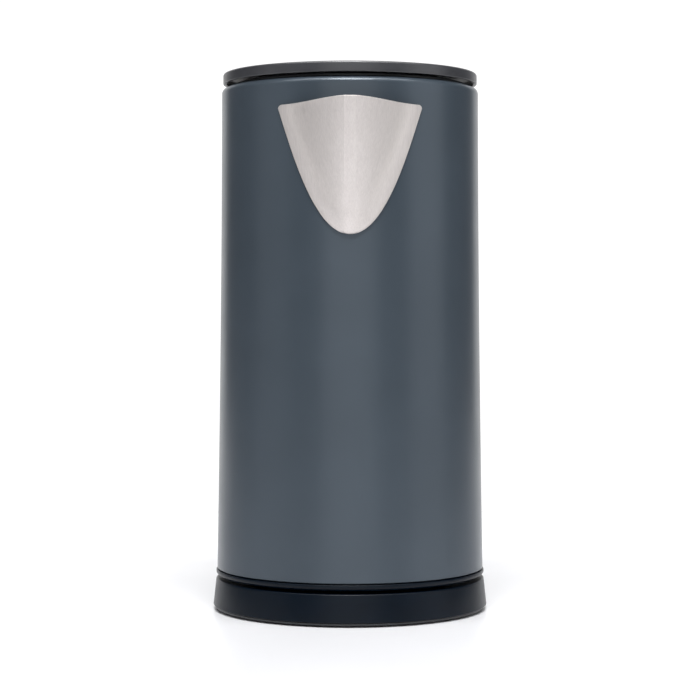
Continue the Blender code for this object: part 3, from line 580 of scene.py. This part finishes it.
def arc_points(centre, radius, start, end, steps):
    """Points of an arc in the (radius, z) plane, angles in degrees from outwards."""
    angles = [math.radians(start + (end - start) * k / steps) for k in range(steps + 1)]
    return [(centre[0] + radius * math.cos(a), centre[1] + radius * math.sin(a)) for a in angles]


def make_shell(looks):
    """The painted can with its rolled rim, and its openings for spout, gauge and switch."""
    straight_top = SHELL_TOP - RIM_ROUND
    rim_centre = (SHELL_RADIUS_TOP - RIM_ROUND, straight_top)
    hem = [(shell_radius(SHELL_BOTTOM) - 0.2, SHELL_BOTTOM)]
    outside = shell_wall(SHELL_BOTTOM + 0.2, straight_top, 0.0, 40)
    rim_out = arc_points(rim_centre, RIM_ROUND, 0, 90, 16)
    edge = [(RIM_EDGE_RADIUS, SHELL_TOP), (RIM_EDGE_RADIUS, SHELL_TOP - SHELL_WALL)]
    rim_in = arc_points(rim_centre, RIM_ROUND - SHELL_WALL, 90, 0, 8)
    inside = shell_wall(SHELL_BOTTOM, straight_top, -SHELL_WALL, 40)[::-1]
    outline = hem + outside[:-1] + rim_out + edge + rim_in + inside[1:]
    shell = piece(
        "body_shell_look", turned(outline), looks["slate_paint"], "jug", ["body_shell"]
    )
    gauge_slot = wall_piece(96.0, 204.0, -4.0, 4.0, 6.2, REAR, 6, 4)
    switch_hole = block((-8.6, 55, 22.6), (8.6, 70, 33.4))
    carve(shell, [spout_port(), gauge_slot, switch_hole])


def spout_port():
    """The cutter of the opening behind the beak, a parabola with its top cut off level."""
    steps, half_width, foot, height = 16, 0.84 * SPOUT_HALF_WIDTH, SPOUT_FOOT + 6.0, 46.6
    points = [(half_width * k / steps, foot + height * (k / steps) ** 2) for k in range(-steps, steps + 1)]
    near = [(x, -75.0, z) for x, z in points]
    far = [(x, -45.0, z) for x, z in points]
    return add_bar(bmesh.new(), near, far)


def spout_stand(across, half_width):
    """How far the beak stands out, from 1 on its flat crest to 0 at its edges."""
    x = abs(across) * half_width
    if x <= SPOUT_CREST:
        return 1.0
    t = min(1.0, (x - SPOUT_CREST) / (half_width - SPOUT_CREST))
    return 0.55 * (0.5 + 0.5 * math.cos(math.pi * t)) + 0.45 * (1 - t) ** 1.25


def tip_drop(across):
    """How much lower the lip runs near the beak's two upper corners, which are rounded."""
    into = SPOUT_TIP_ROUND - (1.0 - abs(across)) * SPOUT_HALF_WIDTH
    if into <= 0:
        return 0.0
    return SPOUT_TIP_ROUND - math.sqrt(max(0.0, SPOUT_TIP_ROUND**2 - into**2))


def spout_point(up, across, out, inset):
    """A point of the beak: up is 0 at its foot and 1 at its lip, across is -1 to 1.

    The sheet's edge is round: near its two faces the outline is drawn in by inset.
    """
    foot = (inset / SPOUT_HEIGHT) ** (1 / SPOUT_POWER)
    crown = 1 - inset / (SPOUT_HEIGHT * SPOUT_POWER)
    up = foot + (crown - foot) * up
    climb = SPOUT_HEIGHT * SPOUT_POWER * up ** (SPOUT_POWER - 1)
    half_width = SPOUT_HALF_WIDTH * up - inset * math.hypot(1.0, SPOUT_HALF_WIDTH / max(climb, 1.0))
    half_width = max(half_width, 0.0)
    x = across * half_width
    wall = math.sqrt((shell_radius(SPOUT_FOOT + SPOUT_HEIGHT * up**SPOUT_POWER) + out) ** 2 - x * x)
    reach = SPOUT_REACH * up**1.8 * spout_stand(across, half_width)
    lip = SPOUT_LIP_RISE * up**6 * (0.5 + 0.5 * math.cos(math.pi * across)) ** 1.3
    z = SPOUT_FOOT + SPOUT_HEIGHT * up**SPOUT_POWER + lip - tip_drop(across) * up**12
    return Vector((x, -(wall + reach), z))


def spout_crossings(half_width, flank):
    """Positions across the beak, closer together near the edges, with the crest's two creases."""
    crease = SPOUT_CREST / max(half_width, SPOUT_CREST * 1.2)
    crest = [crease * k / 4 for k in range(5)]
    side = [crease + (1 - crease) * math.sin(math.pi / 2 * k / flank) for k in range(1, flank + 1)]
    right = crest + side
    return [-a for a in right[:0:-1]] + right


def make_spout(looks):
    """A closed sheet: an inner and an outer face, and a round edge between them in layers."""
    rows, flank, edge_steps = 64, 30, 14
    lines = [spout_crossings(SPOUT_HALF_WIDTH * r / rows, flank) for r in range(1, rows + 1)]
    bm = bmesh.new()

    def point(row, across, layer):
        angle = math.pi * (layer / edge_steps - 0.5)
        out = SPOUT_GAP + SPOUT_SHEET / 2 * (1 + math.sin(angle))
        inset = SPOUT_SHEET / 2 * (1 - math.cos(angle))
        return bm.verts.new(spout_point(row / rows, across, out, inset))

    def face_grid(layer):
        grid = [[point(r + 1, across, layer) for across in line] for r, line in enumerate(lines)]
        foot = point(0, 0.0, layer)
        for a, b in zip(grid[0], grid[0][1:]):
            bm.faces.new((foot, a, b))
        for low, high in zip(grid, grid[1:]):
            for k in range(len(low) - 1):
                bm.faces.new((low[k], low[k + 1], high[k + 1], high[k]))
        left = [line[0] for line in grid]
        right = [line[-1] for line in grid]
        return [foot] + right + grid[-1][-2:0:-1] + left[::-1]

    def edge_loop(layer):
        foot = point(0, 0.0, layer)
        right = [point(r, 1.0, layer) for r in range(1, rows + 1)]
        lip = [point(rows, across, layer) for across in lines[-1][-2:0:-1]]
        left = [point(r, -1.0, layer) for r in range(rows, 0, -1)]
        return [foot] + right + lip + left

    loops = [face_grid(0)] + [edge_loop(k) for k in range(1, edge_steps)] + [face_grid(edge_steps)]
    for near, far in zip(loops, loops[1:]):
        for k in range(len(near)):
            n = (k + 1) % len(near)
            bm.faces.new((near[k], near[n], far[n], far[k]))
    piece("spout_look", bm, looks["brushed_steel"], "jug", ["spout"], 14.0)


def make_underside(looks):
    """The black ring under the shell, with the cover's underside."""
    outline = softened(
        [
            (COVER_RADIUS, COVER_TOP),
            (61.6, COVER_TOP),
            (61.4, 26.0),
            (59.6, 26.0),
            (59.4, 18.9),
            (26.0, 18.9),
            (25.0, 21.2),
            (17.6, 21.2),
            (17.6, 19.2),
            (23.4, 19.0),
            (24.6, COVER_BOTTOM),
            (62.4, COVER_BOTTOM),
            (COVER_RADIUS, COVER_BOTTOM + 1.2),
        ],
        [0.5, 0.1, 0.3, 0.3, 0.3, 0.5, 0.5, 0.3, 0.3, 0.5, 0.4, 0.7, 0.7],
        4,
    )
    ring = piece(
        "bottom_cover_look", turned(outline), looks["gloss_black"], "jug", ["bottom_cover"]
    )
    carve(ring, [block((-9.2, 56, 22.2), (9.2, 66, 30))])


def make_gauge(looks):
    """The water gauge: its plate, its channel, and the raised level marks on it."""
    clear = looks["clear_plastic"]
    plate = wall_piece(GAUGE_LOW, GAUGE_HIGH, 0.3, 1.8, 8.6, REAR)
    piece("gauge_window_look", plate, clear, "jug", ["gauge_window"])
    channel = wall_piece(CHANNEL_LOW, CHANNEL_HIGH, 1.9, CHANNEL_STAND, 5.9, REAR, edge=1.2)
    piece("gauge_channel_look", channel, clear, "jug", [])
    marks = bmesh.new()
    for k in range(MARKS):
        z = MARK_LOW + MARK_PITCH * k
        y = shell_radius(z) + CHANNEL_STAND - 0.1
        half = 4.6 if k % 3 == 0 else 2.6
        wire_bm(marks, [(-half, y, z), (half, y, z)], 0.3)
    piece("gauge_marks_look", marks, looks["seal_silicone"], "jug", [])


# ---------------------------------------------------------------- base


def make_base(looks):
    """The base's cover with its raised seat, and the plate that closes it from below."""
    cover = softened(
        [
            (BASE_RADIUS, 2.1),
            (BASE_RADIUS_TOP, BASE_TOP),
            (47.0, 14.2),
            (45.6, SEAT_TOP),
            (41.4, SEAT_TOP),
            (40.0, 14.2),
            (20.0, 14.2),
            (15.3, 17.4),
            (15.3, 12.2),
            (61.6, 12.2),
            (62.7, 2.1),
        ],
        [0.35, 0.9, 0.8, 0.7, 0.7, 0.8, 2.0, 0.5, 0.3, 0.5, 0.2],
        6,
    )
    base = piece(
        "base_cover_look", turned(cover), looks["gloss_black"], "power_base", ["base_cover"]
    )
    gland_hole = turned([(0, -1), (4.8, -1), (4.8, 12), (0, 12)], 48)
    turn = Matrix.Translation((0, 59.2, 8.2)) @ Matrix.Rotation(math.radians(-90), 4, "X")
    bmesh.ops.transform(gland_hole, matrix=turn, verts=gland_hole.verts)
    carve(base, [gland_hole])
    bottom = softened(
        [(0, 0.8), (64.5, 0.8), (64.5, 1.8), (62.3, 1.8), (62.3, 4.0), (0, 4.0)],
        [0, 0.45, 0.1, 0.1, 0.3, 0],
        4,
    )
    plate = piece(
        "base_bottom_look",
        turned(bottom),
        looks["satin_black"],
        "power_base",
        ["base_bottom"],
    )
    foot = [(0, 0.5), (6.8, 0.5), (6.8, 2.0), (0, 2.0)]
    screw = [(0, -1), (2.9, -1), (2.9, 3.6), (0, 3.6)]
    pockets = [turned(foot, 48, on_circle(FEET_CIRCLE, azimuth, 0.0)) for azimuth in FEET_AT]
    pockets += [turned(screw, 32, on_circle(SCREW_CIRCLE, azimuth, 0.0)) for azimuth in SCREWS_AT]
    carve(plate, pockets)


# ---------------------------------------------------------------- lid


def make_lid(looks):
    """The lid's flat disc with its button hole, and the pieces that go with it."""
    top = [(r, lid_crown(r)) for r in (0, 10, 20, 30, 40, 50, 56)]
    round_centre = (LID_RADIUS - LID_ROUND, LID_TOP - LID_ROUND)
    brow = arc_points(round_centre, LID_ROUND, 88, 0, 16)
    underside = softened(
        [brow[-1], (LID_RADIUS, LID_BOTTOM), (58.8, LID_BOTTOM), (58.6, 252.8), (0.0, 253.8)],
        [0, 0.4, 0.3, 0.3, 0],
        6,
    )
    lid = piece(
        "lid_cover_look",
        turned(top + brow + underside[1:]),
        looks["lid_black"],
        "lid",
        ["lid_cover"],
    )
    reach = BUTTON_RADIUS + 0.4
    hole = turned([(0, 248), (reach, 248), (reach, 260), (0, 260)], 96, (0.0, BUTTON_Y))
    carve(lid, [hole])
    make_lid_arm(looks)
    make_lid_plug(looks)
    make_lid_button(looks)


def lid_crown(r):
    """Height of the lid's slightly domed top at a radius."""
    return LID_TOP + LID_CROWN * (1 - (r / LID_RADIUS) ** 2)


def make_lid_button(looks):
    """The dished push button, with the sloped leg that draws the bolt back."""
    crown = lid_crown(BUTTON_Y) - 0.2
    dish = [(r, crown - 0.7 + 0.7 * (r / 8.0) ** 2) for r in (0, 2, 4, 6, 8)]
    skirt = softened(
        [
            (8.0, crown),
            (BUTTON_RADIUS, crown),
            (BUTTON_RADIUS, 250.8),
            (10.6, 250.8),
            (10.6, 249.6),
            (0, 249.6),
        ],
        [0.1, 0.5, 0.1, 0.2, 0.2, 0],
        5,
    )
    button = turned(dish + skirt, 96, (0.0, BUTTON_Y))
    leg = [(28.0, 249.7), (28.0, LEG_TOE), (30.4, LEG_TOE), (36.4, LEG_TOE + 6.0), (36.4, 249.7)]
    add_bar(button, *[[(x, y, z) for y, z in leg] for x in (-LEG_HALF_WIDTH, LEG_HALF_WIDTH)])
    piece("lid_button_look", button, looks["gloss_black"], "button", ["lid_button"])


def make_lid_plug(looks):
    """The lid's inner plug, with its floor, its side wall and a flange set back under the lid."""
    outline = softened(
        [
            (0, 237.0),
            (48.6, 237.0),
            (50.0, 238.4),
            (50.6, 248.8),
            (FLANGE_RADIUS, 248.8),
            (FLANGE_RADIUS, 250.0),
            (48.8, 250.0),
            (48.4, 238.6),
            (0, 238.6),
        ],
        [0, 0.8, 0.8, 0.6, 0.3, 0.3, 0.4, 0.8, 0],
        5,
    )
    plug = piece(
        "lid_under_look", turned(outline), looks["satin_black"], "lid", ["lid_under"]
    )
    screws = [turned([(0, 230), (2.9, 230), (2.9, 245), (0, 245)], 32, (x, 0.0)) for x in (-40, 40)]
    carve(plug, [*screws, block((-6.4, -53, 242.7), (6.4, -46, 245.5))])


def coil(name, node, start, end, radius, look):
    """A coil spring from its fixed end to its moving end."""
    start, end = Vector(start), Vector(end)
    along = (end - start).normalized()
    side = along.orthogonal().normalized()
    across = along.cross(side)
    count = COIL_TURNS * COIL_STEPS
    line = []
    for k in range(count + 1):
        a = math.tau * k / COIL_STEPS
        line.append(start.lerp(end, k / count) + radius * (side * math.cos(a) + across * math.sin(a)))
    spring = piece(name, wire_bm(bmesh.new(), line, SPRING_WIRE), look, "lid", [node])
    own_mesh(spring)


def make_lid_springs(looks):
    """The coil under the button, and the coil that pushes the bolt out."""
    steel = looks["spring_steel"]
    x, y = -8.7, BUTTON_Y + 4.0
    low, high = (x, y, 239.4), (x, y, 249.0)
    coil("button_coil", "button_spring", low, high, 2.0, steel)
    bolt_low, bolt_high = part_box("bolt_spring")
    z = (bolt_low.z + bolt_high.z) / 2 / MM
    back, front = (0.0, -14.2, z), (0.0, -28.2, z)
    coil("bolt_coil", "bolt_spring", back, front, 1.8, steel)


def make_lid_arm(looks):
    """The tongue behind the lid and its knuckle round the pin, with rounded flanks."""
    outline = [(56.0, 251.0), (62.0, 251.0), (HINGE_Y - 3.0, HINGE_Z - 1.2)]
    for k in range(1, 25):
        a = math.radians(220 + (450 - 220) * k / 24)
        outline.append((HINGE_Y + KNUCKLE_RADIUS * math.cos(a), HINGE_Z + KNUCKLE_RADIUS * math.sin(a)))
    outline.append((56.0, 254.6))
    flanks = [[(x, y, z) for y, z in outline] for x in (-KNUCKLE_HALF_WIDTH, KNUCKLE_HALF_WIDTH)]
    arm = add_bar(bmesh.new(), *flanks)
    made = piece("lid_arm_look", arm, looks["satin_black"], "lid", [])
    bore = turned([(0, -12), (PIN_BORE, -12), (PIN_BORE, 12), (0, 12)], 48)
    turn = Matrix.Translation((0, HINGE_Y, HINGE_Z)) @ Matrix.Rotation(math.radians(90), 4, "Y")
    bmesh.ops.transform(bore, matrix=turn, verts=bore.verts)
    carve(made, [bore])
    soften_edges(made, 0.5)


def soften_edges(obj, width):
    """Rounds the sharp edges of a piece by a width in millimetres."""
    bevel = obj.modifiers.new("soft", "BEVEL")
    bevel.width = width * MM
    bevel.segments = 3
    bevel.limit_method = "ANGLE"
    bevel.angle_limit = math.radians(45)
    bevel.harden_normals = False


# ---------------------------------------------------------------- handle


def handle_path():
    """Where the handle's two halves part: (y, z) and the direction outwards, from arm to arm."""
    upper = (GRIP_Y - HANDLE_CORNER, UPPER_ARM_Z - HANDLE_CORNER)
    lower = (GRIP_Y - HANDLE_CORNER, LOWER_ARM_Z + HANDLE_CORNER)
    steps = 24
    path = [(MOUNT_REAR + 0.3, UPPER_ARM_Z, 0.0, 1.0)]
    for centre, start in ((upper, 90.0), (lower, 0.0)):
        for k in range(steps + 1):
            a = math.radians(start - 90.0 * k / steps)
            out = (math.cos(a), math.sin(a))
            path.append((centre[0] + HANDLE_CORNER * out[0], centre[1] + HANDLE_CORNER * out[1], *out))
    path.append((56.0, LOWER_ARM_Z, 0.0, -1.0))
    return path


def half_section(side):
    """Section of one half of the hollow handle: side is 1 for the outer half and -1 for the inner."""
    wide, deep, wall, seam = HANDLE_HALF_WIDTH, HANDLE_HALF_DEPTH, HANDLE_WALL, HANDLE_SEAM
    steps = 32
    outer = []
    for k in range(steps + 1):
        a = math.pi * k / steps
        x = wide * math.copysign(abs(math.cos(a)) ** 0.55, math.cos(a))
        outer.append((x, deep * math.sin(a) ** 0.55))
    inner = [(x * (wide - wall) / wide, out * (deep - wall) / deep) for x, out in outer]
    lip = 0.35  # the outer skin is drawn in below this height, as a fine groove along the seam
    outer = [(x * (1 - 0.3 * max(0.0, lip - out) / wide), out) for x, out in outer]
    return [(x, side * max(out, seam)) for x, out in outer + inner[::-1]]


def make_handle(looks):
    """The handle's two hollow halves, cut to fit the shell."""
    seat = [(0, 40), (shell_radius(40) + 0.3, 40), (shell_radius(110) + 0.3, 110), (0, 110)]
    for name, side in (("handle_cover", 1), ("handle_frame", -1)):
        section = half_section(side)
        bm = bmesh.new()
        rings = [
            [bm.verts.new((x, y + oy * out, z + oz * out)) for x, out in section]
            for y, z, oy, oz in handle_path()
        ]
        for near, far in zip(rings, rings[1:]):
            for k in range(len(section)):
                n = (k + 1) % len(section)
                bm.faces.new((near[k], near[n], far[n], far[k]))
        bm.faces.new(rings[0])
        bm.faces.new(rings[-1])
        half = piece(f"{name}_look", bm, looks["satin_black"], "jug", [name], 50.0)
        carve(half, [turned(seat, 120)])


# ---------------------------------------------------------------- filter


def make_filter_screen(looks):
    """The filter's cloth, woven from round wires."""
    bm = bmesh.new()
    half, height = CLOTH_HALF_ANGLE, CLOTH_HIGH - CLOTH_LOW
    around = int(math.radians(2 * half) * CLOTH_RADIUS / CLOTH_PITCH)
    upright = int(height / CLOTH_PITCH)
    sway = CLOTH_WIRE * 0.9
    for i in range(around + 1):
        azimuth = FRONT - half + 2 * half * i / around
        points = []
        for j in range(upright * 2 + 1):
            wave = sway * math.cos(math.pi * (j / 2 + i))
            points.append(on_circle(CLOTH_RADIUS + wave, azimuth, CLOTH_LOW + height * j / (upright * 2)))
        wire_bm(bm, points, CLOTH_WIRE, 4)
    for j in range(upright + 1):
        z = CLOTH_LOW + height * j / upright
        points = []
        for i in range(around * 2 + 1):
            wave = -sway * math.cos(math.pi * (i / 2 + j))
            points.append(on_circle(CLOTH_RADIUS + wave, FRONT - half + half * i / around, z))
        wire_bm(bm, points, CLOTH_WIRE, 4)
    piece("filter_screen_look", bm, looks["spring_steel"], "jug", ["filter_screen"], 80.0)


# ---------------------------------------------------------------- CAD nodes kept as they are


def dress_frame(looks):
    """Gives every CAD node that is still shown its material, and small ones softened edges."""
    slots = {row["node"]: row["material_slot"] for row in frame["record"]["subparts"]}
    sharp = ("control_unit", "hinge_block", "switch_lever", "trip_lever", "lid_bolt", "handle_bracket")
    for name, node in frame["nodes"].items():
        if node.hide_render:
            continue
        look = looks[slots[name]]
        if name == "keeper_spring":
            look = looks["spring_steel"]
        node.data.materials.clear()
        node.data.materials.append(look)
        if name in sharp:
            soften_edges(node, 0.3)


# ---------------------------------------------------------------- studio


def area_light(name, at, aim, size, power):
    """A soft light of a size in metres, aimed at a point."""
    data = bpy.data.lights.new(name, "AREA")
    data.shape = "RECTANGLE"
    data.size, data.size_y = size
    data.energy = power
    obj = bpy.data.objects.new(name, data)
    bpy.context.scene.collection.objects.link(obj)
    obj.location = Vector(at)
    obj.rotation_euler = (Vector(aim) - Vector(at)).to_track_quat("-Z", "Y").to_euler()


def stage_sheet(name, corners, faces, look):
    """A sheet of the stage, which isn't part of the object."""
    mesh = bpy.data.meshes.new(name)
    mesh.from_pydata(corners, [], faces)
    mesh.materials.append(look)
    obj = bpy.data.objects.new(name, mesh)
    bpy.context.scene.collection.objects.link(obj)


def glow(name, strength):
    """A material that only gives light."""
    made = bpy.data.materials.new(name)
    made.use_nodes = True
    tree = made.node_tree
    tree.nodes.remove(tree.nodes["Principled BSDF"])
    light = tree.nodes.new("ShaderNodeEmission")
    light.inputs["Strength"].default_value = strength
    tree.links.new(light.outputs[0], tree.nodes["Material Output"].inputs["Surface"])
    return made


def make_sweep():
    """A glowing sheet that lies on the far floor and curves up into the wall behind."""
    wall = AXIS_Y + BACKDROP_BEHIND
    centre = (wall - SWEEP_CURVE, SWEEP_LIFT + SWEEP_CURVE)
    line = [(SWEEP_START, SWEEP_LIFT)]
    for k in range(SWEEP_STEPS + 1):
        a = math.radians(-90.0 + 90.0 * k / SWEEP_STEPS)
        line.append((centre[0] + SWEEP_CURVE * math.cos(a), centre[1] + SWEEP_CURVE * math.sin(a)))
    line.append((wall, SWEEP_HEIGHT))
    corners = [(x, y, z) for y, z in line for x in (-SWEEP_HALF_WIDTH, SWEEP_HALF_WIDTH)]
    faces = [(2 * k, 2 * k + 1, 2 * k + 3, 2 * k + 2) for k in range(len(line) - 1)]
    stage_sheet("sweep", corners, faces, glow("sweep_glow", SWEEP_GLOW))


def make_air():
    """A pale backdrop all round, which lights the object only dimly."""
    world = bpy.data.worlds.new("studio_air")
    bpy.context.scene.world = world
    world.use_nodes = True
    tree = world.node_tree
    air = tree.nodes["Background"]
    air.inputs["Color"].default_value = (0.96, 0.98, 1.0, 1.0)
    ray = tree.nodes.new("ShaderNodeLightPath")
    strength = tree.nodes.new("ShaderNodeMapRange")
    strength.inputs["To Min"].default_value = AIR_LIGHT
    strength.inputs["To Max"].default_value = AIR_SEEN
    tree.links.new(ray.outputs["Is Camera Ray"], strength.inputs["Value"])
    tree.links.new(strength.outputs["Result"], air.inputs["Strength"])


def make_studio():
    """Floor, backdrop and lights: (place, aim, size, watts) for each light."""
    edge = [on_circle(FLOOR_RADIUS, 360.0 * k / AROUND, 0.0) for k in range(AROUND)]
    stage_sheet("floor", edge, [range(AROUND)], floor_look())
    make_sweep()
    make_air()
    area_light("key", (0.0, -0.8, 1.5), (0.0, 0.0, 0.1), (0.7, 0.3), 20.5)
    area_light("top", (0.0, 0.45, 1.7), (0.0, 0.1, 0.0), (1.6, 1.4), 5.6)
    area_light("strip", (0.0, -0.42, 1.5), (0.0, -0.08, 0.25), (2.4, 0.3), 15.5)
    area_light("front_panel", (0.0, -2.3, 0.6), (0.0, 0.0, 0.13), (2.0, 1.2), 7.9)
    area_light("side_left", (-1.2, -0.45, 0.6), (0.0, 0.0, 0.15), (0.9, 1.2), 1.3)
    area_light("side_right", (1.2, -0.45, 0.6), (0.0, 0.0, 0.15), (0.9, 1.2), 3.0)


def make_camera():
    """In front of the spout, a little above the jug's middle, looking slightly down."""
    data = bpy.data.cameras.new("camera")
    data.sensor_width = 36.0
    data.lens = CAMERA_LENS
    data.clip_start = 0.05
    data.clip_end = 30.0
    camera = bpy.data.objects.new("camera", data)
    bpy.context.scene.collection.objects.link(camera)
    camera.location = (0.0, AXIS_Y - CAMERA_DISTANCE, CAMERA_HEIGHT)
    camera.rotation_euler = (math.radians(90.0 - CAMERA_PITCH), 0.0, 0.0)
    bpy.context.scene.camera = camera


def set_colours():
    """Plain display colours, with no film look."""
    view = bpy.context.scene.view_settings
    view.view_transform = "Standard"
    view.look = "None"
    view.exposure = 0.0
    view.gamma = 1.0


looks = make_looks()
make_shell(looks)
make_spout(looks)
make_underside(looks)
make_gauge(looks)
make_base(looks)
make_lid(looks)
make_lid_springs(looks)
make_handle(looks)
make_filter_screen(looks)
dress_frame(looks)
make_studio()
make_camera()
set_colours()
